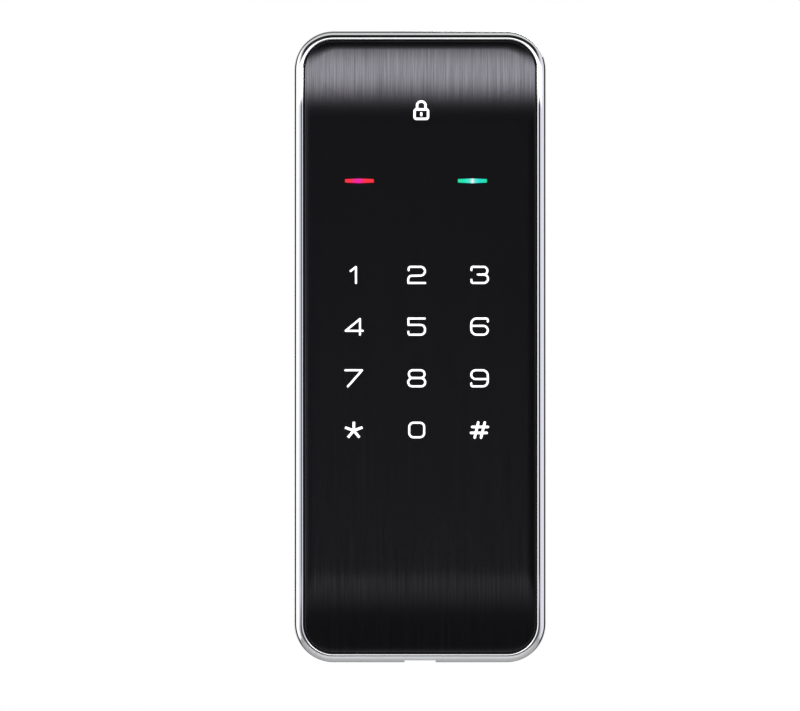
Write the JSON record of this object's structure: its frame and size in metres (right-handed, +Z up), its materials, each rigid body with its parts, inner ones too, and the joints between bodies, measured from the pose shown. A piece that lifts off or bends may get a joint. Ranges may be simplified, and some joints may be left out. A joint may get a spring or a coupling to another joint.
{
  "type": "keypad smart lock",
  "caption": "Door lock with a tall round-cornered touch keypad in a chrome frame outside, a motor and battery unit with a thumbturn inside, and bolts and a tailpiece through the door gap.",
  "frame": {"origin": "the spindle axis where it meets the door's outer face", "axes": "+Z up the door, +X to the right seen from outdoors, +Y indoors through the door along the spindle"},
  "size_m": [0.066, 0.122, 0.165],
  "materials": {
    "chrome_plate": "polished",
    "black_panel": "satin",
    "black_plastic": "satin",
    "grey_plastic": "matte",
    "white_plastic": "satin",
    "gear_plastic": "satin",
    "circuit_board": "satin",
    "steel": "satin",
    "brass": "satin",
    "rubber": "matte",
    "red_light": "gloss",
    "green_light": "gloss",
    "cell_sleeve": "gloss"
  },
  "bodies": {
    "lock_body": {"chrome_frame": "chrome_plate", "front_panel": "black_panel", "panel_seal": "rubber", "light_bar_red": "red_light", "light_bar_green": "green_light", "light_guide": "white_plastic", "touch_board": "circuit_board", "buzzer": "black_plastic", "power_port": "steel", "outside_housing": "chrome_plate", "back_plate": "steel", "back_plate_screw_1": "steel", "back_plate_screw_2": "steel", "back_plate_screw_3": "steel", "back_plate_screw_4": "steel", "door_pad": "rubber", "bolt_post_left": "steel", "bolt_post_right": "steel", "cable_grommet": "rubber", "cable_plug_outside": "white_plastic", "linking_cable": "black_plastic", "cable_plug_inside": "white_plastic", "inside_plate": "steel", "through_bolt_left": "steel", "through_bolt_right": "steel", "inside_chassis": "grey_plastic", "chassis_screw_1": "steel", "chassis_screw_2": "steel", "chassis_screw_3": "steel", "chassis_screw_4": "steel", "main_board": "circuit_board", "reduction_axle": "steel", "drive_motor": "steel", "gear_plate": "steel", "thumbturn_bush": "white_plastic", "lower_cover": "black_plastic", "cover_screw_left": "steel", "cover_screw_right": "steel", "button_board": "circuit_board", "status_lens": "white_plastic", "battery_tray": "black_plastic", "battery_1": "cell_sleeve", "battery_2": "cell_sleeve", "battery_3": "cell_sleeve", "battery_4": "cell_sleeve", "contact_top_plus": "steel", "contact_top_middle": "steel", "contact_top_minus": "steel", "contact_bottom_left": "steel", "contact_bottom_right": "steel"},
    "turning_spindle": {"thumbturn": "chrome_plate", "spindle_hub": "steel", "main_gear": "gear_plastic", "tailpiece": "steel"},
    "reduction_wheel": {"reduction_gear": "gear_plastic"},
    "motor_shaft": {"motor_pinion": "brass"},
    "battery_door": {"battery_cover": "black_plastic"},
    "button": {"privacy_button": "chrome_plate"}
  },
  "joints": [
    {"name": "spindle_turn", "type": "hinge", "parent": "lock_body", "child": "turning_spindle", "pos_m": [0, 0.0835, 0], "axis": [0, 1, 0], "range_deg": [-90, 90]},
    {"name": "reduction_turn", "type": "hinge", "parent": "lock_body", "child": "reduction_wheel", "pos_m": [-0.01127, 0.054, 0.02119], "axis": [0, 1, 0], "range_deg": [-280, 280]},
    {"name": "motor_turn", "type": "hinge", "parent": "lock_body", "child": "motor_shaft", "pos_m": [-0.01782, 0.058, 0.03742], "axis": [0, 1, 0], "range_deg": [-700, 700]},
    {"name": "battery_cover_slide", "type": "slide", "parent": "lock_body", "child": "battery_door", "axis": [0, 0, 1], "range_m": [0, 0.08]},
    {"name": "privacy_press", "type": "slide", "parent": "lock_body", "child": "button", "axis": [0, -1, 0], "range_m": [0, 0.0008], "stiffness_N_per_m": 400}
  ],
  "couplings": [
    {"joint": "reduction_turn", "follows": "spindle_turn", "ratio": -3},
    {"joint": "motor_turn", "follows": "spindle_turn", "ratio": 7.5}
  ]
}
